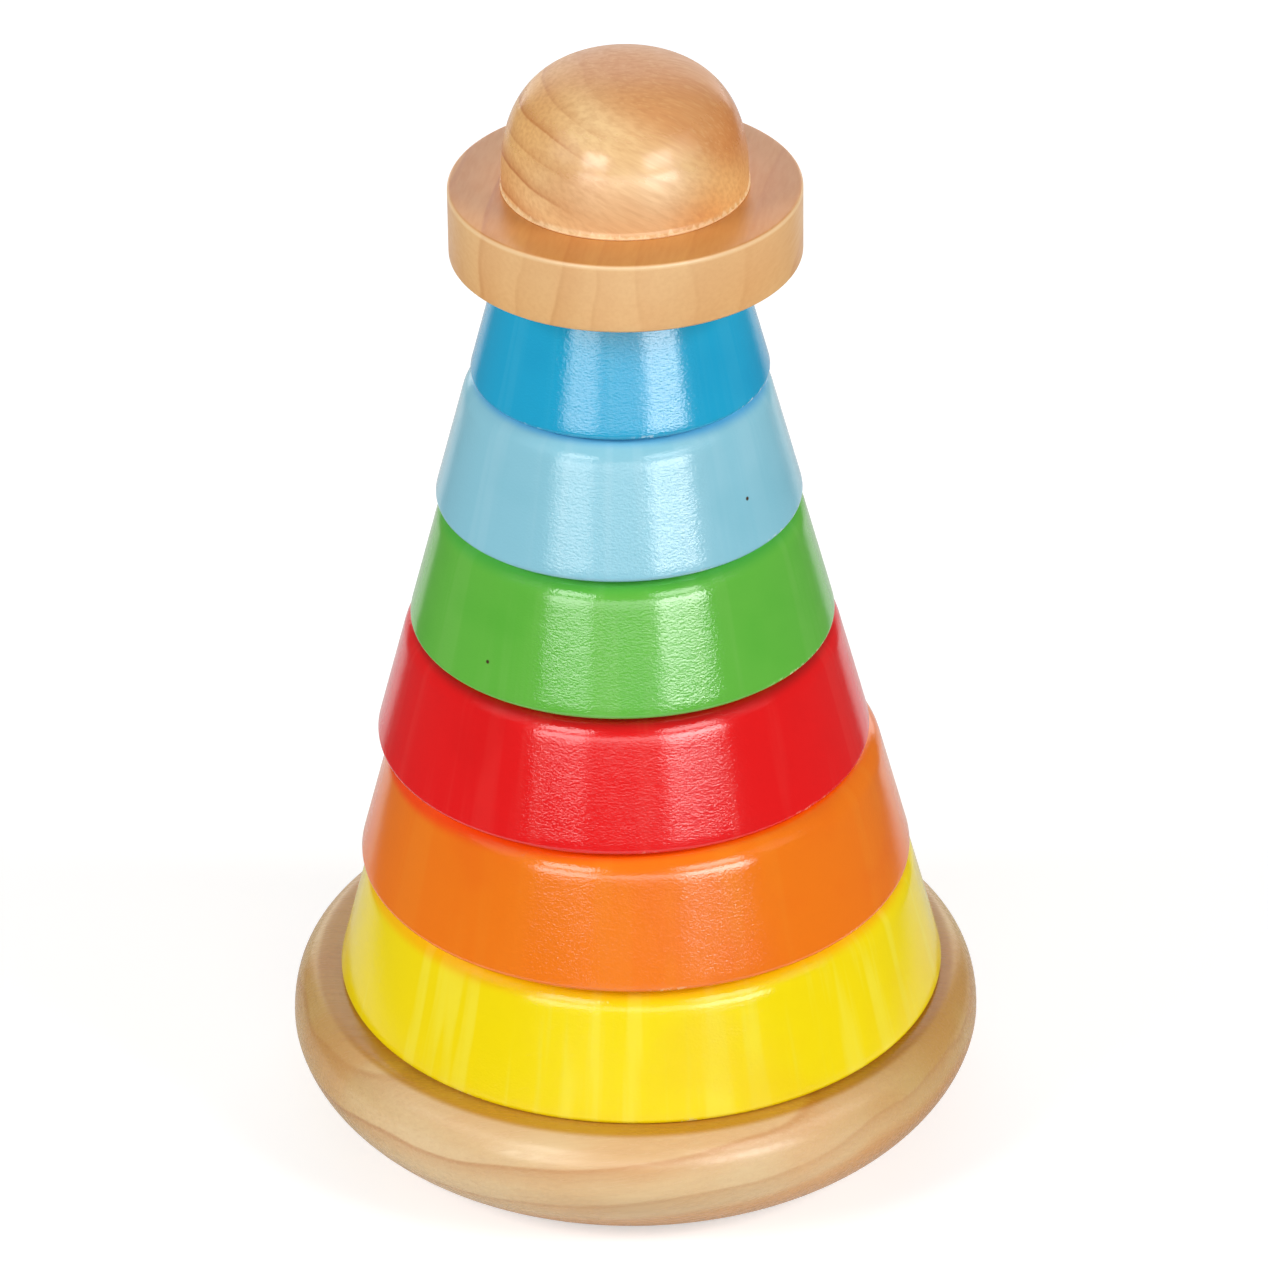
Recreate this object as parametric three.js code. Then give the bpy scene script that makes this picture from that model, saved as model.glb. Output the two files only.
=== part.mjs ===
// Wooden stacking tower: a round base with a fixed centre peg, six cone-shaped painted
// rings that drop over the peg, and a hat of brim and crown that caps the peg's end.
// Millimetres, +Z up, with the origin under the middle of the base.

import * as THREE from "three";

// Base disc, with a full round edge that is widest above the middle of its thickness
const BASE_RADIUS = 56.4;
const BASE_THICKNESS = 22;
const BASE_TOP_EDGE_WIDTH = 6;
const BASE_TOP_EDGE_DROP = 9;
const BASE_TOP_EDGE_FULLNESS = 2.3;
const BASE_UNDER_EDGE_WIDTH = 12.5;
const BASE_UNDER_EDGE_FULLNESS = 1.6;

// Centre peg, a dowel glued into a blind hole in the base
const PEG_RADIUS = 7.5;
const PEG_GLUE_GAP = 0.3;
const PEG_FLOOR_THICKNESS = 6;
const PEG_END_ROUNDING = 3;
const PEG_REACH_INTO_CROWN = 5;

// Rings, all turned from one thickness of board with the same slope and bore
const RING_HEIGHT = 22;
const RING_SIDE_LEAN_DEGREES = 14.6;
const RING_TOP_EDGE_ROUNDING = 4.8;
const RING_BOTTOM_EDGE_ROUNDING = 0.8;
const RING_BORE_PLAY = 2.25;
const RING_BORE_EDGE_ROUNDING = 1;

// Largest radius of each ring, at its foot
const YELLOW_RING_RADIUS = 49.7;
const ORANGE_RING_RADIUS = 45;
const RED_RING_RADIUS = 40.05;
const GREEN_RING_RADIUS = 34.3;
const LIGHT_BLUE_RING_RADIUS = 29.45;
const BLUE_RING_RADIUS = 23.9;

// The rings from the base up. A ring hangs loose on the peg, so slipX and slipY say where it
// came to rest, as shares of the play in its bore.
const RINGS = [
  { name: "yellow_ring", radius: YELLOW_RING_RADIUS, colour: 0xf6dc12, slipX: 0.46, slipY: -0.07 },
  { name: "orange_ring", radius: ORANGE_RING_RADIUS, colour: 0xf47b20, slipX: 0.16, slipY: -0.06 },
  { name: "red_ring", radius: RED_RING_RADIUS, colour: 0xe01b1e, slipX: -0.6, slipY: 0.43 },
  { name: "green_ring", radius: GREEN_RING_RADIUS, colour: 0x5eb43a, slipX: -0.57, slipY: 0.1 },
  { name: "light_blue_ring", radius: LIGHT_BLUE_RING_RADIUS, colour: 0x8cc8e8, slipX: -0.69, slipY: 0.16 },
  { name: "blue_ring", radius: BLUE_RING_RADIUS, colour: 0x1f9fcf, slipX: -0.5, slipY: 0.39 },
];

// Hat: a flat brim with a through hole, and a domed crown with a blind hole glued on it.
// It rests a little towards the front, by a share of the play in its socket.
const BRIM_RADIUS = 27.7;
const BRIM_THICKNESS = 11.6;
const BRIM_EDGE_ROUNDING = 0.5;
const CROWN_RADIUS = 19.3;
const CROWN_HEIGHT = 20.3;
const CROWN_FULLNESS = 2.7;
const HAT_SOCKET_PLAY = 1;
const HAT_SLIP_Y = -0.5;
const HAT_SOCKET_HEADROOM = 2;

// Fineness of the facets
const FACETS_AROUND = 48;
const FACETS_PER_SMALL_EDGE = 3;
const FACETS_PER_LARGE_CURVE = 9;

const BARE_WOOD_ROUGHNESS = 0.45;
const GLOSS_PAINT_ROUGHNESS = 0.25;
const WOOD_COLOUR = 0xdcb27c;
const PEG_COLOUR = 0xe2c597;

const STACK_TOP = BASE_THICKNESS + RINGS.length * RING_HEIGHT;
const BRIM_TOP = STACK_TOP + BRIM_THICKNESS;
const PEG_TOP = BRIM_TOP + PEG_REACH_INTO_CROWN;

// A corner of an outline: distance from the axis, height, and how far it is rounded.
function corner(radius, height, rounding = 0) {
  return { point: new THREE.Vector2(radius, height), rounding };
}

// Points of an outline whose rounded corners are arcs that touch both their sides.
function roundedOutline(corners) {
  const points = [];
  corners.forEach(({ point, rounding }, index) => {
    if (rounding === 0) {
      points.push(point);
      return;
    }
    const before = corners[(index + corners.length - 1) % corners.length].point;
    const after = corners[(index + 1) % corners.length].point;
    const towardsBefore = before.clone().sub(point).normalize();
    const towardsAfter = after.clone().sub(point).normalize();
    const halfAngle = Math.acos(towardsBefore.dot(towardsAfter)) / 2;
    const shorterSide = Math.min(before.distanceTo(point), after.distanceTo(point));
    const radius = Math.min(rounding, (shorterSide / 2) * Math.tan(halfAngle));
    const reach = radius / Math.tan(halfAngle);
    const toCentre = towardsBefore.clone().add(towardsAfter).setLength(radius / Math.sin(halfAngle));
    const centre = point.clone().add(toCentre);
    const start = towardsBefore.clone().multiplyScalar(reach).sub(toCentre);
    const end = towardsAfter.clone().multiplyScalar(reach).sub(toCentre);
    const sweep = Math.atan2(start.cross(end), start.dot(end));
    for (let step = 0; step <= FACETS_PER_SMALL_EDGE; step += 1) {
      const turn = (sweep * step) / FACETS_PER_SMALL_EDGE;
      points.push(start.clone().rotateAround(new THREE.Vector2(), turn).add(centre));
    }
  });
  return points;
}

// Quarter of an oval between two angles. A fullness of 2 is an ellipse, and less is flatter.
function ovalQuarter(centre, width, height, fullness, fromAngle, toAngle) {
  const points = [];
  for (let step = 0; step <= FACETS_PER_LARGE_CURVE; step += 1) {
    const angle = THREE.MathUtils.lerp(fromAngle, toAngle, step / FACETS_PER_LARGE_CURVE);
    const across = Math.max(Math.cos(angle), 0) ** (2 / fullness);
    const along = Math.abs(Math.sin(angle)) ** (2 / fullness) * Math.sign(Math.sin(angle));
    points.push(new THREE.Vector2(centre.x + width * across, centre.y + height * along));
  }
  return points;
}

// A turned piece: its outline, from the bottom outwards and up, spun about the Z axis.
function turnedPiece(name, outline, colour, roughness) {
  const geometry = new THREE.LatheGeometry(outline, FACETS_AROUND);
  geometry.rotateX(Math.PI / 2);
  const material = new THREE.MeshStandardMaterial({ color: colour, roughness, metalness: 0 });
  const mesh = new THREE.Mesh(geometry, material);
  mesh.name = name;
  return mesh;
}

function baseDisc() {
  const seatRadius = PEG_RADIUS + PEG_GLUE_GAP;
  const widestHeight = BASE_THICKNESS - BASE_TOP_EDGE_DROP;
  const underCentre = new THREE.Vector2(BASE_RADIUS - BASE_UNDER_EDGE_WIDTH, widestHeight);
  const topCentre = new THREE.Vector2(BASE_RADIUS - BASE_TOP_EDGE_WIDTH, widestHeight);
  const underEdge = ovalQuarter(
    underCentre, BASE_UNDER_EDGE_WIDTH, widestHeight, BASE_UNDER_EDGE_FULLNESS, -Math.PI / 2, 0,
  );
  const topEdge = ovalQuarter(
    topCentre, BASE_TOP_EDGE_WIDTH, BASE_TOP_EDGE_DROP, BASE_TOP_EDGE_FULLNESS, 0, Math.PI / 2,
  );
  const outline = [
    new THREE.Vector2(0, 0),
    ...underEdge,
    ...topEdge.slice(1),
    new THREE.Vector2(seatRadius, BASE_THICKNESS),
    new THREE.Vector2(seatRadius, PEG_FLOOR_THICKNESS),
    new THREE.Vector2(0, PEG_FLOOR_THICKNESS),
  ];
  return turnedPiece("base_disc", outline, WOOD_COLOUR, BARE_WOOD_ROUGHNESS);
}

function centrePeg() {
  const outline = roundedOutline([
    corner(0, PEG_FLOOR_THICKNESS),
    corner(PEG_RADIUS, PEG_FLOOR_THICKNESS),
    corner(PEG_RADIUS, PEG_TOP, PEG_END_ROUNDING),
    corner(0, PEG_TOP),
  ]);
  return turnedPiece("centre_peg", outline, PEG_COLOUR, BARE_WOOD_ROUGHNESS);
}

function coneRing(ring, place) {
  const boreRadius = PEG_RADIUS + RING_BORE_PLAY;
  const topRadius = ring.radius - RING_HEIGHT * Math.tan(THREE.MathUtils.degToRad(RING_SIDE_LEAN_DEGREES));
  const outline = roundedOutline([
    corner(boreRadius, 0, RING_BORE_EDGE_ROUNDING),
    corner(ring.radius, 0, RING_BOTTOM_EDGE_ROUNDING),
    corner(topRadius, RING_HEIGHT, RING_TOP_EDGE_ROUNDING),
    corner(boreRadius, RING_HEIGHT, RING_BORE_EDGE_ROUNDING),
  ]);
  const mesh = turnedPiece(ring.name, [...outline, outline[0]], ring.colour, GLOSS_PAINT_ROUGHNESS);
  mesh.position.set(
    ring.slipX * RING_BORE_PLAY,
    ring.slipY * RING_BORE_PLAY,
    BASE_THICKNESS + place * RING_HEIGHT,
  );
  return mesh;
}

function hatBrim() {
  const socketRadius = PEG_RADIUS + HAT_SOCKET_PLAY;
  const outline = roundedOutline([
    corner(socketRadius, STACK_TOP, BRIM_EDGE_ROUNDING),
    corner(BRIM_RADIUS, STACK_TOP, BRIM_EDGE_ROUNDING),
    corner(BRIM_RADIUS, BRIM_TOP, BRIM_EDGE_ROUNDING),
    corner(socketRadius, BRIM_TOP),
  ]);
  return turnedPiece("hat_brim", [...outline, outline[0]], WOOD_COLOUR, BARE_WOOD_ROUGHNESS);
}

function hatCrown() {
  const socketRadius = PEG_RADIUS + HAT_SOCKET_PLAY;
  const socketEnd = PEG_TOP + HAT_SOCKET_HEADROOM;
  const foot = new THREE.Vector2(0, BRIM_TOP);
  const outline = [
    new THREE.Vector2(0, socketEnd),
    new THREE.Vector2(socketRadius, socketEnd),
    new THREE.Vector2(socketRadius, BRIM_TOP),
    ...ovalQuarter(foot, CROWN_RADIUS, CROWN_HEIGHT, CROWN_FULLNESS, 0, Math.PI / 2),
  ];
  return turnedPiece("hat_crown", outline, WOOD_COLOUR, BARE_WOOD_ROUGHNESS);
}

const tower = new THREE.Group();
tower.add(baseDisc());
tower.add(centrePeg());
RINGS.forEach((ring, place) => tower.add(coneRing(ring, place)));
const hat = new THREE.Group();
hat.position.y = HAT_SLIP_Y * HAT_SOCKET_PLAY;
hat.add(hatBrim());
hat.add(hatCrown());
tower.add(hat);

export default tower;
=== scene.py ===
import math

import bmesh
import bpy
from mathutils import Euler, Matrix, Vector


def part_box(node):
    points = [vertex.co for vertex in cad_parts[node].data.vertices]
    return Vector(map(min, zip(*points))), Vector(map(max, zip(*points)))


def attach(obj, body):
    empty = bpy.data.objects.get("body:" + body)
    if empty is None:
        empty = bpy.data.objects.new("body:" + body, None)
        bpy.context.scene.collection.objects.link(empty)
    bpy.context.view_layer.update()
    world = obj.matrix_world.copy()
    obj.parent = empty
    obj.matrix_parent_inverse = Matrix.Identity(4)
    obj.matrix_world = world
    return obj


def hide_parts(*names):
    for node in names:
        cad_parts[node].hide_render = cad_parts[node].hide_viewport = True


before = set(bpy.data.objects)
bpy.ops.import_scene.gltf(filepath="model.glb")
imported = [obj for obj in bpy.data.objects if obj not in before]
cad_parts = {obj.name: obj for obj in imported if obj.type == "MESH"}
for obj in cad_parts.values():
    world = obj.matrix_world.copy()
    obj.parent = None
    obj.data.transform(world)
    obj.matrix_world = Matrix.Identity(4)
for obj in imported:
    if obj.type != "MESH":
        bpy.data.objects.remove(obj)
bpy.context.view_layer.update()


# Base
# A thick round disc turned from one board of pale softwood, with the long grain running from
# left to right. Its whole edge is rounded over by the lathe and sealed with clear lacquer.
base_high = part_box("base_disc")[1]
base_radius = base_high.x
base_thickness = base_high.z
base_top_edge_width = 0.006
base_top_edge_drop = 0.009
base_top_edge_fullness = 2.3
base_under_edge_width = 0.0125
base_under_edge_fullness = 1.6
peg_low, peg_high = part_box("centre_peg")
peg_glue_gap = 0.0003
peg_seat_radius = peg_high.x + peg_glue_gap
facets_around = 192


def oval_arc(centre, width, height, fullness, start, end, steps=24):
    """Points of an oval between two angles in degrees; a fullness of 2 is an ellipse."""
    points = []
    for step in range(steps + 1):
        angle = math.radians(start + (end - start) * step / steps)
        across = max(math.cos(angle), 0.0) ** (2 / fullness)
        along = math.copysign(abs(math.sin(angle)) ** (2 / fullness), math.sin(angle))
        points.append((centre[0] + width * across, centre[1] + height * along))
    return points


def split_long_runs(outline, longest=0.0015):
    """Adds points along straight runs, so that smooth shading stays true beside the roundings."""
    points = []
    for here, after in zip(outline, outline[1:]):
        pieces = max(1, math.ceil(math.dist(here, after) / longest))
        for step in range(pieces):
            share = step / pieces
            points.append(tuple(a + (b - a) * share for a, b in zip(here, after)))
    points.append(outline[-1])
    return points


def add_object(name, data):
    """Adds an object to the scene and gives it."""
    made = bpy.data.objects.new(name, data)
    bpy.context.scene.collection.objects.link(made)
    return made


def turned_piece(name, outline, axis=(0.0, 0.0), facets=facets_around):
    """Spins an outline of radius and height about an upright axis into a closed, smooth solid."""
    mesh = bpy.data.meshes.new(name)
    shape = bmesh.new()
    hoops = []
    for radius, height in split_long_runs(outline):
        hoop = []
        for step in range(facets):
            turn = 2 * math.pi * step / facets
            across = axis[0] + radius * math.cos(turn)
            deep = axis[1] + radius * math.sin(turn)
            hoop.append(shape.verts.new((across, deep, height)))
        hoops.append(hoop)
    for lower, upper in zip(hoops, hoops[1:]):
        for step in range(facets):
            after = (step + 1) % facets
            shape.faces.new((lower[step], lower[after], upper[after], upper[step]))
    bmesh.ops.remove_doubles(shape, verts=shape.verts, dist=1e-6)
    bmesh.ops.dissolve_degenerate(shape, edges=shape.edges, dist=1e-7)
    bmesh.ops.recalc_face_normals(shape, faces=shape.faces)
    for face in shape.faces:
        face.smooth = True
    shape.to_mesh(mesh)
    shape.free()
    return add_object(name, mesh)


def add(tree, kind, inputs=None, **settings):
    """Adds a node. Each input is a value or the output of another node."""
    made = tree.nodes.new(kind)
    for name, value in settings.items():
        setattr(made, name, value)
    for key, value in (inputs or {}).items():
        if isinstance(value, bpy.types.NodeSocket):
            tree.links.new(value, made.inputs[key])
        else:
            made.inputs[key].default_value = value
    return made


def maths(tree, operation, *values):
    """Adds a Math node and gives its output."""
    return add(tree, "ShaderNodeMath", dict(enumerate(values)), operation=operation).outputs[0]


def spread(tree, value, low, high, new_low=0.0, new_high=1.0):
    """Adds a smooth Map Range node and gives its output."""
    inputs = {"Value": value, "From Min": low, "From Max": high}
    inputs |= {"To Min": new_low, "To Max": new_high}
    return add(tree, "ShaderNodeMapRange", inputs, interpolation_type="SMOOTHSTEP").outputs[0]


def stretched(tree, vector, x, y, z):
    """Scales a vector along each axis and gives the output."""
    inputs = {0: vector, 1: (x, y, z)}
    return add(tree, "ShaderNodeVectorMath", inputs, operation="MULTIPLY").outputs[0]


def noise(tree, vector, scale, detail=2.0):
    """Adds a Noise node and gives its value, from 0 to 1."""
    inputs = {"Vector": vector, "Scale": scale, "Detail": detail}
    return add(tree, "ShaderNodeTexNoise", inputs).outputs[0]


def tint(tree, mask, first, second, blend="MIX"):
    """Mixes two colours by a mask and gives the output."""
    inputs = {0: mask, 6: first, 7: second}
    return add(tree, "ShaderNodeMix", inputs, data_type="RGBA", blend_type=blend).outputs[2]


def colour(red, green, blue):
    """A colour as seen on screen, from 0 to 255, as the shader's linear colour."""
    shares = [value / 255 for value in (red, green, blue)]
    linear = [s / 12.92 if s <= 0.04045 else ((s + 0.055) / 1.055) ** 2.4 for s in shares]
    return (*linear, 1.0)


def new_group(name, inputs, outputs):
    """Starts a shader node group with named sockets."""
    tree = bpy.data.node_groups.new(name, "ShaderNodeTree")
    for socket, kind in inputs.items():
        tree.interface.new_socket(socket, in_out="INPUT", socket_type=kind)
    for socket in outputs:
        tree.interface.new_socket(socket, in_out="OUTPUT", socket_type="NodeSocketFloat")
    return tree, tree.nodes.new("NodeGroupInput"), tree.nodes.new("NodeGroupOutput")


def new_material(name):
    """Starts a material: gives it, its node tree, its shader and its object coordinates."""
    material = bpy.data.materials.new(name)
    material.use_nodes = True
    tree = material.node_tree
    place = add(tree, "ShaderNodeTexCoord").outputs["Object"]
    return material, tree, tree.nodes["Principled BSDF"], place


def board_grain_group():
    """Growth layers of a board: X runs along its fibres and Z across its layers."""
    inputs = {
        "Vector": "NodeSocketVector",
        "Layers per metre": "NodeSocketFloat",
        "Waver": "NodeSocketFloat",
        "Late share": "NodeSocketFloat",
    }
    outputs = ("Depth", "Latewood", "Fibre", "Flecks", "Mottle")
    tree, given, result = new_group("board grain", inputs, outputs)
    vector = given.outputs["Vector"]
    waver = maths(tree, "SUBTRACT", noise(tree, stretched(tree, vector, 0.25, 1, 1), 42.0), 0.5)
    across = add(tree, "ShaderNodeSeparateXYZ", {0: vector}).outputs["Z"]
    depth = maths(tree, "MULTIPLY_ADD", waver, given.outputs["Waver"], across)
    count = maths(tree, "MULTIPLY", depth, given.outputs["Layers per metre"])
    part = maths(tree, "FRACT", count)
    layer = maths(tree, "FLOOR", count)
    rise = spread(tree, part, maths(tree, "SUBTRACT", 0.93, given.outputs["Late share"]), 0.93)
    line = spread(tree, part, 0.82, 0.92, 0.0, 0.4)
    rise = maths(tree, "MULTIPLY_ADD", rise, 0.6, line)
    fall = spread(tree, part, 0.93, 1.0, 1.0, 0.0)
    own = add(tree, "ShaderNodeTexWhiteNoise", {"W": layer}, noise_dimensions="1D").outputs["Value"]
    strength = maths(tree, "MULTIPLY_ADD", own, 0.7, 0.3)
    late = maths(tree, "MULTIPLY", maths(tree, "MULTIPLY", rise, fall), strength)
    fibre = noise(tree, stretched(tree, vector, 0.04, 1, 1), 1500.0, 3.0)
    flecks = noise(tree, stretched(tree, vector, 0.15, 1, 1), 2600.0, 1.0)
    mottle = noise(tree, stretched(tree, vector, 0.5, 1, 1), 55.0, 2.0)
    for key, value in zip(outputs, (depth, late, fibre, flecks, mottle)):
        tree.links.new(value, result.inputs[key])
    return tree


board_grain = board_grain_group()
# The colour of the painted highlight along an upper edge.
edge_highlight_tone = colour(255, 226, 180)
torn_wood_tone = colour(252, 222, 176)
fibre_relief = 0.00002
fibre_relief_strength = 0.45
buffed_blend = 0.004
unbuffed_roughness = 0.26


def lacquered_wood(
    name, pale, dark, ruddy, centre, turn, layers, waver, contrast, roughness,
    specular=0.3, late_share=0.55, fibre=0.2,
    fade=None, heart=None, ends=None, face=None, edge=None, torn_foot=None, buffed=None,
):
    """Clear-coated wood from a board that lies turned about the piece's centre.

    late_share is the part of a growth layer that darkens, and fibre how dark the single fibres
    are. fade is the stretch along the fibres over which the growth lines die away, heart the span
    of depth over which the board turns ruddy, and ends where painted shade towards both ends
    along the fibres starts and is full, and its tint. face is the height of a flat top and the
    tint of the painted shade laid on it, edge the height of an upper edge that carries a painted
    highlight, with the side painted paler towards it, torn_foot that of a rough glued edge, and
    buffed the heights between which the lacquer shines most.
    """
    material, tree, shader, place = new_material(name)
    height = add(tree, "ShaderNodeSeparateXYZ", {0: place}).outputs["Z"]
    turned = [math.radians(angle) for angle in turn]
    laid = add(
        tree,
        "ShaderNodeMapping",
        {"Vector": place, "Rotation": turned, "Location": centre},
        vector_type="TEXTURE",
    ).outputs[0]
    grain = add(
        tree,
        "ShaderNodeGroup",
        {"Vector": laid, "Layers per metre": layers, "Waver": waver, "Late share": late_share},
        node_tree=board_grain,
    ).outputs
    along = add(tree, "ShaderNodeSeparateXYZ", {0: laid}).outputs["X"]
    late = maths(tree, "MULTIPLY", grain["Latewood"], contrast)
    if fade:
        fade_start, fade_end = fade
        late = maths(tree, "MULTIPLY", late, spread(tree, along, fade_start, fade_end, 1.0, 0.12))
    tone = tint(tree, late, pale, dark)
    blush = spread(tree, grain["Mottle"], 0.4, 0.7, 0.0, 0.45)
    tone = tint(tree, blush, tone, ruddy)
    if heart:
        heart_start, heart_full = heart
        ripe = spread(tree, grain["Depth"], heart_start, heart_full, 0.0, 0.8)
        tone = tint(tree, ripe, tone, ruddy)
    streak = spread(tree, grain["Fibre"], 0.3, 0.75, 0.0, fibre)
    tone = tint(tree, streak, tone, dark)
    glint = spread(tree, grain["Flecks"], 0.5, 0.75, 0.0, 0.2)
    tone = tint(tree, glint, tone, pale)
    # Painted shade towards both ends along the fibres, at the left and right of the piece.
    if ends:
        side_shade_start, side_shade_full, side_shade_tint = ends
        side_shade = spread(tree, maths(tree, "ABSOLUTE", along), side_shade_start, side_shade_full)
        tone = tint(tree, side_shade, tone, side_shade_tint, "MULTIPLY")
    # Painted shade on the flat top.
    if face:
        face_height, top_shade_tint = face
        flat = spread(tree, height, face_height - 0.0005, face_height - 0.0001)
        tone = tint(tree, flat, tone, top_shade_tint, "MULTIPLY")
    # A painted highlight along the upper edge, and the side painted paler towards it.
    if edge:
        above = spread(tree, height, edge - 0.0012, edge - 0.0004)
        below = spread(tree, height, edge - 0.0002, edge, 1.0, 0.0)
        edge_highlight = maths(tree, "MULTIPLY", maths(tree, "MULTIPLY", above, below), 0.55)
        faded = spread(tree, height, edge - 0.011, edge - 0.001, 0.0, 0.14)
        edge_highlight = maths(tree, "MAXIMUM", edge_highlight, maths(tree, "MULTIPLY", faded, below))
        tone = tint(tree, edge_highlight, tone, edge_highlight_tone)
    if torn_foot:
        teeth = noise(tree, stretched(tree, place, 1, 1, 0.2), 900.0, 3.0)
        limit = maths(tree, "MULTIPLY_ADD", teeth, 0.0034, torn_foot - 0.0011)
        torn = spread(tree, maths(tree, "SUBTRACT", height, limit), -0.0003, 0.0003, 0.5, 0.0)
        tone = tint(tree, torn, tone, torn_wood_tone)
    tree.links.new(tone, shader.inputs["Base Color"])
    gloss = spread(tree, grain["Fibre"], 0.2, 0.8, roughness, roughness + 0.12)
    if buffed:
        buffed_low, buffed_high = buffed
        under = spread(
            tree, height, buffed_low - buffed_blend, buffed_low, unbuffed_roughness, 0.0
        )
        over = spread(
            tree, height, buffed_high, buffed_high + buffed_blend, 0.0, unbuffed_roughness
        )
        gloss = maths(tree, "ADD", gloss, maths(tree, "ADD", under, over))
    tree.links.new(gloss, shader.inputs["Roughness"])
    relief = {"Distance": fibre_relief, "Strength": fibre_relief_strength}
    bump = add(tree, "ShaderNodeBump", {"Height": grain["Fibre"], **relief})
    tree.links.new(bump.outputs[0], shader.inputs["Normal"])
    shader.inputs["Specular IOR Level"].default_value = specular
    return material


widest = base_thickness - base_top_edge_drop
under_centre = (base_radius - base_under_edge_width, widest)
top_centre = (base_radius - base_top_edge_width, widest)
base_outline = [(0.0, 0.0)]
base_outline += oval_arc(
    under_centre, base_under_edge_width, widest, base_under_edge_fullness, -90, 0
)
base_outline += oval_arc(
    top_centre, base_top_edge_width, base_top_edge_drop, base_top_edge_fullness, 0, 90
)[1:]
base_outline += [(peg_seat_radius, base_thickness), (peg_seat_radius, peg_low.z), (0.0, peg_low.z)]
base = turned_piece("base_round", base_outline)
base.data.materials.append(
    lacquered_wood(
        "base softwood",
        pale=colour(226, 196, 148),
        dark=colour(180, 118, 66),
        ruddy=colour(219, 160, 97),
        centre=(0.0, 0.0, base_thickness / 2),
        turn=(0, -8, -4),
        layers=130.0,
        waver=0.008,
        contrast=0.85,
        roughness=0.2,
        specular=0.6,
        fibre=0.14,
        heart=(-0.003, -0.0065),
        # Painted shade at the left and right of the disc.
        ends=(0.030, 0.054, colour(224, 210, 168)),
        # The flat top carries painted shade, tinted yellow as painted bounce light from the yellow
        # ring.
        face=(base_thickness, colour(222, 196, 96)),
    )
)
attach(base, "base")
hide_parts("base_disc")


# Peg
# A plain hardwood dowel, glued upright into a blind hole in the middle of the base. Its top end
# is rounded over so that the rings find it easily.
peg_radius = peg_high.x
peg_end_rounding = 0.003


def eased_corner(radius, height, rounding, start, steps):
    """Points of a quarter circle on an outer corner, from -90 degrees if lower, or 0 if upper."""
    inwards = rounding if start < 0 else -rounding
    centre = (radius - rounding, height + inwards)
    return oval_arc(centre, rounding, rounding, 2, start, start + 90, steps)


peg_outline = [(0.0, peg_low.z), (peg_radius, peg_low.z)]
peg_outline += eased_corner(peg_radius, peg_high.z, peg_end_rounding, 0, 10)
peg_outline += [(0.0, peg_high.z)]
peg = turned_piece("peg_dowel", peg_outline, facets=96)
peg.data.materials.append(
    lacquered_wood(
        "peg hardwood",
        pale=colour(228, 200, 158),
        dark=colour(196, 152, 104),
        ruddy=colour(216, 180, 134),
        centre=(0.0, 0.0, peg_low.z),
        turn=(0, 90, 20),
        layers=350.0,
        waver=0.004,
        contrast=0.5,
        roughness=0.34,
    )
)
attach(peg, "base")
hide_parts("centre_peg")


# Rings
# Six cones turned from one thickness of board, each bored through to drop loosely over the peg.
# They are sprayed with gloss paint, which is thin in streaks and chips at the foot. The shoulder
# just under each ring's foot carries painted shade, tinted with that ring's colour as painted
# bounce light.
ring_lean = math.radians(14.6)
ring_sizes = {
    "Height": 0.022,
    "Top Rounding": 0.0048,
    "Foot Rounding": 0.0008,
    "Bore Radius": 0.00975,
    "Bore Rounding": 0.001,
}
ring_arc_points = 10
ring_long_run = 0.004
ring_run_cuts = 14.0


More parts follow.
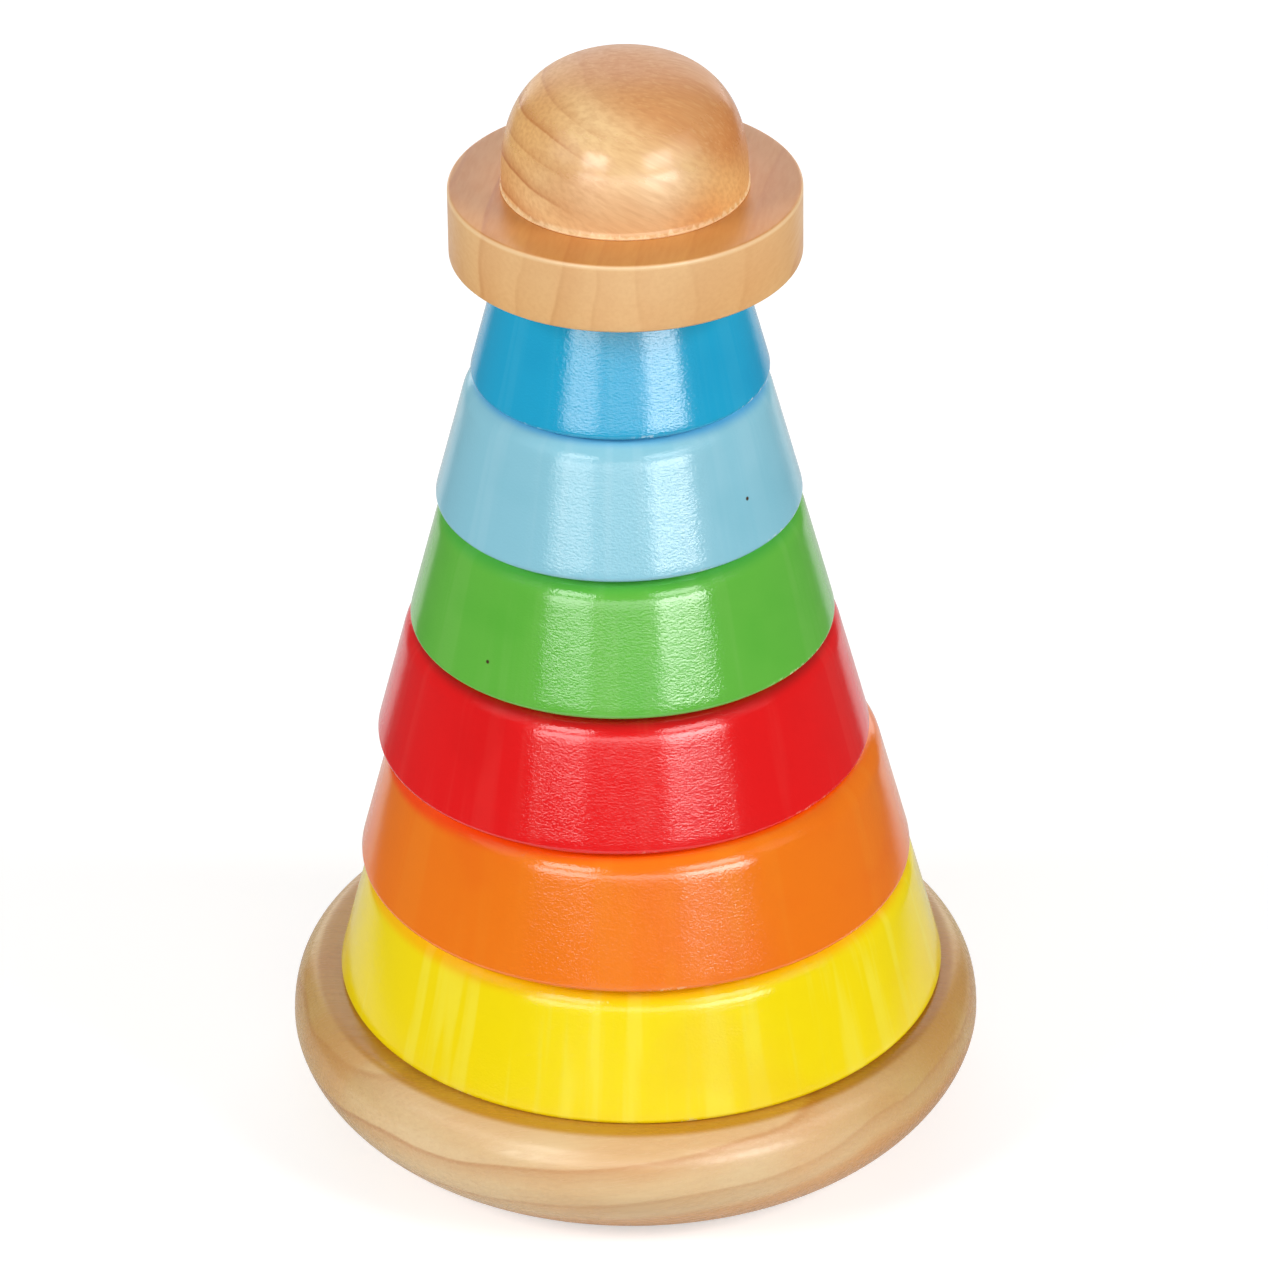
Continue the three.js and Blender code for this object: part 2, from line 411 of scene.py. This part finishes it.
def ring_tree():
    """Geometry nodes that turn one ring: a four-cornered outline, rounded, swept round the bore."""
    tree = bpy.data.node_groups.new("turned ring", "GeometryNodeTree")
    lengths = ("Foot Radius", "Top Radius", *ring_sizes)
    for socket in lengths:
        tree.interface.new_socket(socket, in_out="INPUT", socket_type="NodeSocketFloat")
    tree.interface.new_socket("Facets Around", in_out="INPUT", socket_type="NodeSocketInt")
    tree.interface.new_socket("Place", in_out="INPUT", socket_type="NodeSocketVector")
    tree.interface.new_socket("Material", in_out="INPUT", socket_type="NodeSocketMaterial")
    tree.interface.new_socket("Geometry", in_out="OUTPUT", socket_type="NodeSocketGeometry")
    given = tree.nodes.new("NodeGroupInput").outputs
    foot = maths(tree, "SUBTRACT", given["Foot Radius"], given["Bore Radius"])
    top = maths(tree, "SUBTRACT", given["Top Radius"], given["Bore Radius"])
    rise = maths(tree, "MULTIPLY", given["Height"], -1.0)
    corners = {}
    places = ((0.0, 0.0), (foot, 0.0), (top, rise), (0.0, rise))
    for number, (across, up) in enumerate(places, start=1):
        point = add(tree, "ShaderNodeCombineXYZ", {0: across, 1: up})
        corners[f"Point {number}"] = point.outputs[0]
    outline = add(tree, "GeometryNodeCurvePrimitiveQuadrilateral", corners, mode="POINTS")
    rounding = tree.nodes.new("GeometryNodeIndexSwitch")
    rounding.data_type = "FLOAT"
    while len(rounding.index_switch_items) < len(places):
        rounding.index_switch_items.new()
    tree.links.new(tree.nodes.new("GeometryNodeInputIndex").outputs[0], rounding.inputs["Index"])
    kinds = ("Bore Rounding", "Foot Rounding", "Top Rounding", "Bore Rounding")
    for number, kind in enumerate(kinds, start=1):
        tree.links.new(given[kind], rounding.inputs[number])
    rounded = add(
        tree,
        "GeometryNodeFilletCurve",
        {"Curve": outline.outputs[0], "Radius": rounding.outputs[0], "Count": ring_arc_points},
        mode="POLY",
    )
    position = tree.nodes.new("GeometryNodeInputPosition").outputs[0]
    index = tree.nodes.new("GeometryNodeInputIndex").outputs[0]
    following = maths(tree, "ADD", index, 1.0)
    ahead = add(tree, "GeometryNodeFieldAtIndex", data_type="FLOAT_VECTOR", domain="POINT")
    tree.links.new(following, ahead.inputs["Index"])
    tree.links.new(position, ahead.inputs["Value"])
    ends = {0: position, 1: ahead.outputs[0]}
    gap = add(tree, "ShaderNodeVectorMath", ends, operation="DISTANCE")
    is_long = maths(tree, "GREATER_THAN", gap.outputs["Value"], ring_long_run)
    cuts = maths(tree, "MULTIPLY", is_long, ring_run_cuts)
    fine = add(tree, "GeometryNodeSubdivideCurve", {"Curve": rounded.outputs[0], "Cuts": cuts})
    hoop = add(
        tree,
        "GeometryNodeCurvePrimitiveCircle",
        {"Radius": given["Bore Radius"], "Resolution": given["Facets Around"]},
        mode="RADIUS",
    )
    sweep = {"Curve": hoop.outputs[0], "Profile Curve": fine.outputs[0]}
    solid = add(tree, "GeometryNodeCurveToMesh", sweep)
    move = {"Geometry": solid.outputs[0], "Translation": given["Place"]}
    placed = add(tree, "GeometryNodeTransform", move)
    smooth = add(tree, "GeometryNodeSetShadeSmooth", {"Geometry": placed.outputs[0]})
    real = add(tree, "GeometryNodeRealizeInstances", {"Geometry": smooth.outputs[0]})
    coat = {"Geometry": real.outputs[0], "Material": given["Material"]}
    painted = add(tree, "GeometryNodeSetMaterial", coat)
    result = tree.nodes.new("NodeGroupOutput")
    tree.links.new(painted.outputs[0], result.inputs["Geometry"])
    return tree


def paint_skin_group():
    """Marks of sprayed paint on turned wood, read from the middle of the ring's foot."""
    inputs = {
        "Vector": "NodeSocketVector",
        "Streaks per radian": "NodeSocketFloat",
        "Wear": "NodeSocketFloat",
    }
    outputs = ("Ripple", "Streaks", "Foot wear", "Specks", "Cloud")
    tree, given, result = new_group("paint skin", inputs, outputs)
    vector = given.outputs["Vector"]
    grain = noise(tree, stretched(tree, vector, 0.8, 0.8, 1.2), 2600.0, 2.0)
    peel = noise(tree, vector, 500.0, 1.0)
    ripple = maths(tree, "MULTIPLY_ADD", peel, 0.5, grain)
    flat = stretched(tree, vector, 1, 1, 0)
    around = add(tree, "ShaderNodeVectorMath", {0: flat}, operation="NORMALIZE").outputs[0]
    height = add(tree, "ShaderNodeSeparateXYZ", {0: vector}).outputs["Z"]
    drawn = add(tree, "ShaderNodeCombineXYZ", {2: maths(tree, "MULTIPLY", height, 1.5)}).outputs[0]
    round_about = add(tree, "ShaderNodeVectorMath", {0: around, 1: drawn}, operation="ADD")
    streaks = noise(tree, round_about.outputs[0], given.outputs["Streaks per radian"], 3.0)
    chips = noise(tree, vector, 1100.0, 2.0)
    low = spread(tree, height, 0.0003, 0.0011, 1.0, 0.0)
    limit = maths(tree, "SUBTRACT", 0.62, maths(tree, "MULTIPLY", given.outputs["Wear"], 0.2))
    worn_place = spread(tree, noise(tree, vector, 45.0, 1.0), limit, maths(tree, "ADD", limit, 0.06))
    wear = maths(tree, "MULTIPLY", low, spread(tree, chips, 0.50, 0.60))
    wear = maths(tree, "MULTIPLY", wear, worn_place)
    cells = add(tree, "ShaderNodeTexVoronoi", {"Vector": vector, "Scale": 95.0})
    dot = spread(tree, cells.outputs["Distance"], 0.02, 0.04, 1.0, 0.0)
    chosen = add(tree, "ShaderNodeSeparateXYZ", {0: cells.outputs["Color"]}).outputs["X"]
    specks = maths(tree, "MULTIPLY", dot, spread(tree, chosen, 0.86, 0.88))
    cloud = noise(tree, vector, 60.0, 2.0)
    for key, value in zip(outputs, (ripple, streaks, wear, specks, cloud)):
        tree.links.new(value, result.inputs[key])
    return tree


paint_skin = paint_skin_group()
speck_tone = colour(70, 48, 30)
shade_tint_floor = 0.3


def foot_shade_mask(tree, place, foot, radius, share):
    """A mask of the shoulder just under the foot of the ring above, where painted shade falls."""
    laid = add(tree, "ShaderNodeMapping", {"Vector": place, "Location": -Vector(foot)}).outputs[0]
    height = add(tree, "ShaderNodeSeparateXYZ", {0: laid}).outputs["Z"]
    flat = stretched(tree, laid, 1, 1, 0)
    reach = add(tree, "ShaderNodeVectorMath", {0: flat}, operation="LENGTH").outputs["Value"]
    inner = spread(tree, reach, radius - 0.0032, radius - 0.0020)
    outer = spread(tree, reach, radius - 0.0012, radius + 0.0003, share, 0.0)
    high = spread(tree, height, -0.0042, -0.0024)
    return maths(tree, "MULTIPLY", maths(tree, "MULTIPLY", inner, outer), high)


def gloss_paint(
    name, paint, thin, deep, chip, streaks, centre, above=None,
    thin_share=0.2, wear=0.3, foot_shade=0.9, ripple=0.000028, roughness=0.11, specular=1.0,
):
    """Gloss paint on wood: thin is its colour where the coat is thin, deep where it has pooled.

    above is the ring that rests on this one: the middle of its foot, its radius and its colour.
    foot_shade is how strong the painted shade under that foot is, tinted with its colour as painted
    bounce light, and ripple the height of the fine ripples.
    """
    material, tree, shader, place = new_material(name)
    laid = add(tree, "ShaderNodeMapping", {"Vector": place, "Location": -Vector(centre)})
    inputs = {"Vector": laid.outputs[0], "Streaks per radian": streaks, "Wear": wear}
    skin = add(tree, "ShaderNodeGroup", inputs, node_tree=paint_skin).outputs
    thinned = spread(tree, skin["Streaks"], 0.50, 0.63, 0.0, thin_share)
    tone = tint(tree, thinned, paint, thin)
    pooled = spread(tree, skin["Cloud"], 0.5, 0.75, 0.0, 0.5)
    tone = tint(tree, pooled, tone, deep)
    # Painted shade on the shoulder under the foot of the ring above, tinted with that ring's colour
    # as painted bounce light.
    if above:
        foot, radius, bounce_colour = above
        peak = max(bounce_colour[:3])
        shade_tint = [shade_tint_floor + (1 - shade_tint_floor) * value / peak for value in bounce_colour[:3]]
        shade_mask = foot_shade_mask(tree, place, foot, radius, foot_shade)
        tone = tint(tree, shade_mask, tone, (*shade_tint, 1.0), "MULTIPLY")
    tone = tint(tree, skin["Foot wear"], tone, chip)
    tone = tint(tree, skin["Specks"], tone, speck_tone)
    tree.links.new(tone, shader.inputs["Base Color"])
    gloss = spread(tree, skin["Cloud"], 0.3, 0.7, roughness - 0.02, roughness + 0.04)
    tree.links.new(gloss, shader.inputs["Roughness"])
    shader.inputs["Specular IOR Level"].default_value = specular
    relief = {"Distance": ripple, "Strength": 1.0}
    bump = add(tree, "ShaderNodeBump", {"Height": skin["Ripple"], **relief})
    tree.links.new(bump.outputs[0], shader.inputs["Normal"])
    return material


ring_paints = {
    "yellow": dict(
        paint=colour(245, 220, 4),
        thin=colour(250, 240, 90),
        deep=colour(242, 206, 0),
        chip=colour(250, 240, 190),
        streaks=11.0,
        thin_share=0.3,
        foot_shade=0.5,
        specular=0.5,
    ),
    "orange": dict(
        paint=colour(244, 122, 10),
        thin=colour(246, 144, 34),
        deep=colour(240, 108, 6),
        chip=colour(250, 190, 130),
        streaks=6.0,
        specular=0.9,
    ),
    "red": dict(
        paint=colour(232, 16, 18),
        thin=colour(238, 66, 60),
        deep=colour(222, 12, 14),
        chip=colour(246, 150, 130),
        streaks=8.0,
        specular=0.85,
    ),
    "green": dict(
        paint=colour(99, 185, 62),
        thin=colour(132, 199, 96),
        deep=colour(86, 178, 52),
        chip=colour(226, 230, 170),
        streaks=6.0,
    ),
    "light_blue": dict(
        paint=colour(140, 200, 218),
        thin=colour(168, 214, 228),
        deep=colour(128, 192, 210),
        chip=colour(232, 240, 240),
        streaks=7.0,
        wear=0.5,
        ripple=0.000036,
        specular=0.75,
    ),
    "blue": dict(
        paint=colour(26, 164, 208),
        thin=colour(70, 178, 214),
        deep=colour(16, 154, 200),
        chip=colour(214, 236, 244),
        streaks=7.0,
        wear=0.5,
        ripple=0.00004,
        specular=0.85,
    ),
}
turned_ring = ring_tree()
ring_inputs = {
    item.name: item.identifier
    for item in turned_ring.interface.items_tree
    if item.in_out == "INPUT"
}


def ring_foot(name):
    """The middle of a ring's foot, and its radius."""
    low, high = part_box(f"{name}_ring")
    return ((low.x + high.x) / 2, (low.y + high.y) / 2, low.z), (high.x - low.x) / 2


corner_reach = 1 / math.tan((math.pi / 2 - ring_lean) / 2) - 1
ring_names = list(ring_paints)
for name, upper in zip(ring_names, [*ring_names[1:], None]):
    centre, widest_radius = ring_foot(name)
    above = (*ring_foot(upper), ring_paints[upper]["paint"]) if upper else None
    paint = gloss_paint(f"{name} gloss paint", centre=centre, above=above, **ring_paints[name])
    foot_radius = widest_radius + ring_sizes["Foot Rounding"] * corner_reach
    top_radius = foot_radius - ring_sizes["Height"] * math.tan(ring_lean)
    blank = add_object("ring_blank", bpy.data.meshes.new("ring_blank"))
    turning = blank.modifiers.new("turning", "NODES")
    turning.node_group = turned_ring
    values = dict(ring_sizes)
    values["Foot Radius"] = foot_radius
    values["Top Radius"] = top_radius
    values["Facets Around"] = facets_around
    values["Place"] = centre
    values["Material"] = paint
    for key, value in values.items():
        turning[ring_inputs[key]] = value
    evaluated = blank.evaluated_get(bpy.context.evaluated_depsgraph_get())
    mesh = bpy.data.meshes.new_from_object(evaluated)
    bpy.data.objects.remove(blank)
    shape = bmesh.new()
    shape.from_mesh(mesh)
    bmesh.ops.remove_doubles(shape, verts=shape.verts, dist=1e-6)
    bmesh.ops.recalc_face_normals(shape, faces=shape.faces)
    shape.to_mesh(mesh)
    shape.free()
    ring = add_object(f"{name}_cone", mesh)
    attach(ring, name)
    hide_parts(f"{name}_ring")


# Hat brim
# A flat turned disc of reddish hardwood with crisp eased edges and a hole for the peg. The cut
# runs across the growth layers, so its side shows soft upright bands under clear lacquer.
brim_low, brim_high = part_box("hat_brim")
brim_radius = (brim_high.x - brim_low.x) / 2
brim_edge_rounding = 0.0005
hat_axis = (0.0, (brim_low.y + brim_high.y) / 2)
hat_socket_play = 0.001
hat_socket_radius = peg_radius + hat_socket_play
brim_outline = [(hat_socket_radius, brim_low.z)]
brim_outline += eased_corner(brim_radius, brim_low.z, brim_edge_rounding, -90, 6)
brim_outline += eased_corner(brim_radius, brim_high.z, brim_edge_rounding, 0, 6)
brim_outline += [(hat_socket_radius, brim_high.z), (hat_socket_radius, brim_low.z)]
brim = turned_piece("hat_brim_disc", brim_outline, hat_axis)
brim.data.materials.append(
    lacquered_wood(
        "brim hardwood",
        pale=colour(234, 186, 126),
        dark=colour(210, 144, 84),
        ruddy=colour(222, 160, 98),
        centre=(*hat_axis, brim_low.z),
        turn=(90, 10, -100),
        layers=150.0,
        waver=0.010,
        contrast=0.75,
        late_share=0.8,
        roughness=0.28,
        specular=0.7,
        # The flat top carries painted shade.
        face=(brim_high.z, colour(236, 210, 172)),
        # The upper edge carries a painted highlight, with the side painted paler towards it.
        edge=brim_high.z,
    )
)
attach(brim, "hat")
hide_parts("hat_brim")


# Hat crown
# A dome turned from the same reddish hardwood, drilled from below for the peg's end and glued on
# the brim. Its tilted growth layers show as arcs sweeping down from the upper left, and its
# lacquer is buffed to a shine in a belt half way up.
crown_low, crown_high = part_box("hat_crown")
crown_radius = (crown_high.x - crown_low.x) / 2
crown_height = crown_high.z - crown_low.z
crown_fullness = 2.7
crown_lip_width = 0.0002
crown_lip_height = 0.0005
hat_socket_headroom = 0.002
crown_socket_end = peg_high.z + hat_socket_headroom
crown_outline = [(0.0, crown_socket_end), (hat_socket_radius, crown_socket_end)]
crown_outline += [(hat_socket_radius, crown_low.z)]
lip_half_height = crown_lip_height / 2
lip_centre = (crown_radius, crown_low.z + lip_half_height)
crown_outline += oval_arc(lip_centre, crown_lip_width, lip_half_height, 2, -90, 90, 8)
dome = oval_arc((0.0, crown_low.z), crown_radius, crown_height, crown_fullness, 0, 90, 60)
crown_outline += [point for point in dome if point[1] > crown_low.z + crown_lip_height]
crown = turned_piece("hat_crown_dome", crown_outline, hat_axis)
crown.data.materials.append(
    lacquered_wood(
        "crown hardwood",
        pale=colour(241, 204, 148),
        dark=colour(186, 114, 58),
        ruddy=colour(210, 138, 78),
        centre=(*hat_axis, (crown_low.z + crown_high.z) / 2),
        turn=(170, 30, 0),
        layers=225.0,
        waver=0.004,
        contrast=0.9,
        roughness=0.14,
        specular=0.9,
        fibre=0.3,
        fade=(-0.013, 0.0),
        heart=(-0.0012, -0.0078),
        # Painted shade at the left and right of the dome.
        ends=(0.0075, 0.0155, colour(250, 230, 202)),
        torn_foot=crown_low.z,
        buffed=(crown_low.z + 0.0111, crown_low.z + 0.0140),
    )
)
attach(crown, "hat")
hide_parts("hat_crown")


# Floor and surroundings
# A sheet of white paper on a small table, with an even white surround behind it. The camera sees
# both as white, while reflections see a dimmer room past the edge of the sheet. The sheet is cut
# out under the base and clear from below, so that the underside can be looked at.
def strength_by_ray(tree, plain, seen, mirrored):
    """A strength that is plain for lighting, and differs for camera rays and mirror or clear rays."""
    path = add(tree, "ShaderNodeLightPath").outputs
    through = maths(tree, "MAXIMUM", path["Is Glossy Ray"], path["Is Transmission Ray"])
    strength = maths(tree, "MULTIPLY_ADD", path["Is Camera Ray"], seen - plain, plain)
    return maths(tree, "MULTIPLY_ADD", through, mirrored - plain, strength)


sheet_outline = [(0.12, -0.35), (0.12, 0.10), (0.65, 0.9)]
sheet_outline += [(-x, y) for x, y in reversed(sheet_outline)]
hidden_margin = 0.001
hidden_radius = base_radius - base_under_edge_width - hidden_margin
hidden_points = 50
hidden_step = 0.125
hidden_outline = []
for point in range(hidden_points):
    turn = point * hidden_step
    hidden_outline.append((hidden_radius * math.cos(turn), hidden_radius * math.sin(turn)))
sheet = bmesh.new()
for outline in (sheet_outline, hidden_outline):
    corners = [sheet.verts.new((x, y, 0.0)) for x, y in outline]
    for corner, after in zip(corners, corners[1:] + corners[:1]):
        sheet.edges.new((corner, after))
bmesh.ops.triangle_fill(sheet, edges=sheet.edges, use_beauty=True, normal=(0, 0, 1))
floor_mesh = bpy.data.meshes.new("floor")
sheet.to_mesh(floor_mesh)
sheet.free()
floor = add_object("floor", floor_mesh)
paper_colour = (0.7, 0.7, 0.7, 1)
floor_material = bpy.data.materials.new("white paper")
floor_material.use_nodes = True
tree = floor_material.node_tree
tree.nodes.remove(tree.nodes["Principled BSDF"])
dull = add(tree, "ShaderNodeBsdfDiffuse", {"Color": paper_colour})
glow_strength = strength_by_ray(tree, plain=0.0, seen=0.50, mirrored=0.08)
glow = add(tree, "ShaderNodeEmission", {"Strength": glow_strength})
both = add(tree, "ShaderNodeAddShader", {0: dull.outputs[0], 1: glow.outputs[0]})
under = add(tree, "ShaderNodeNewGeometry").outputs["Backfacing"]
clear = add(tree, "ShaderNodeBsdfTransparent")
paper = add(tree, "ShaderNodeMixShader", {0: under, 1: both.outputs[0], 2: clear.outputs[0]})
tree.links.new(paper.outputs[0], tree.nodes["Material Output"].inputs["Surface"])
floor_mesh.materials.append(floor_material)

world = bpy.data.worlds.new("white surround")
bpy.context.scene.world = world
world.use_nodes = True
tree = world.node_tree
surround = tree.nodes["Background"].inputs
surround_strength = strength_by_ray(tree, plain=0.15, seen=1.0, mirrored=0.12)
tree.links.new(surround_strength, surround["Strength"])
surround["Color"].default_value = (1, 1, 1, 1)


# Lamps
# Two soft key lamps well out to the sides and a low one in front light the tower evenly, and a
# broad panel behind stands for the backdrop. Bright cards on the camera's side light nothing and
# show only as the upright highlights in the gloss.
def upright_panel(name, azimuth, width, bottom, top, watts, lights, mirrored, distance=1.0):
    """A soft panel facing the tower; azimuth 0 is the camera's side, positive to the right."""
    lamp = bpy.data.lights.new(name, "AREA")
    lamp.shape = "RECTANGLE"
    lamp.size = width
    lamp.size_y = top - bottom
    lamp.energy = watts
    panel = add_object(name, lamp)
    turn = math.radians(azimuth)
    panel.location = (distance * math.sin(turn), -distance * math.cos(turn), (bottom + top) / 2)
    panel.rotation_euler = Euler((math.radians(90), 0, turn))
    panel.visible_camera = False
    panel.visible_diffuse = lights
    panel.visible_glossy = mirrored


key_lamp = {"lights": True, "mirrored": False}
card = {"lights": False, "mirrored": True}
upright_panel("left key", -65, width=0.50, bottom=0.4, top=1.0, watts=10.6, **key_lamp)
upright_panel("right key", 65, width=0.50, bottom=0.4, top=1.0, watts=11.1, **key_lamp)
upright_panel("low front", 2, width=0.60, bottom=0.1, top=0.45, watts=2.65, **key_lamp)
upright_panel(
    "backdrop", 180, width=1.60, bottom=0.0, top=1.2, watts=9.5,
    lights=True, mirrored=True, distance=1.2,
)
upright_panel("front card", 2, width=0.60, bottom=0.082, top=0.33, watts=0.9, distance=0.98, **card)
upright_panel("left card", -30, width=0.44, bottom=0.44, top=0.80, watts=2.25, **card)
upright_panel("left card foot", -30, width=0.46, bottom=0.060, top=0.33, watts=1.65, **card)
upright_panel("right card", 34, width=0.50, bottom=0.44, top=0.80, watts=2.35, **card)
upright_panel("right card foot", 34, width=0.52, bottom=0.056, top=0.30, watts=3.0, **card)


# Camera
# The photograph looks down on the tower from in front through a long lens, turned a fraction
# clockwise, so the tower leans a little to the left.
camera_place = (0.0005, -1.0470, 0.7083)
camera_pitch = 30.82
camera_roll = 0.726
focal_pixels = 7577.7
frame_pixels = 1268
camera_data = bpy.data.cameras.new("camera")
camera_data.sensor_width = 36.0
camera_data.lens = camera_data.sensor_width * focal_pixels / frame_pixels
camera = add_object("camera", camera_data)
camera.location = camera_place
tilt = Euler((math.radians(90 - camera_pitch), 0, 0)).to_matrix()
roll = Euler((0, 0, math.radians(-camera_roll))).to_matrix()
camera.rotation_euler = (tilt @ roll).to_euler()
bpy.context.scene.camera = camera
bpy.context.scene.view_settings.view_transform = "Standard"
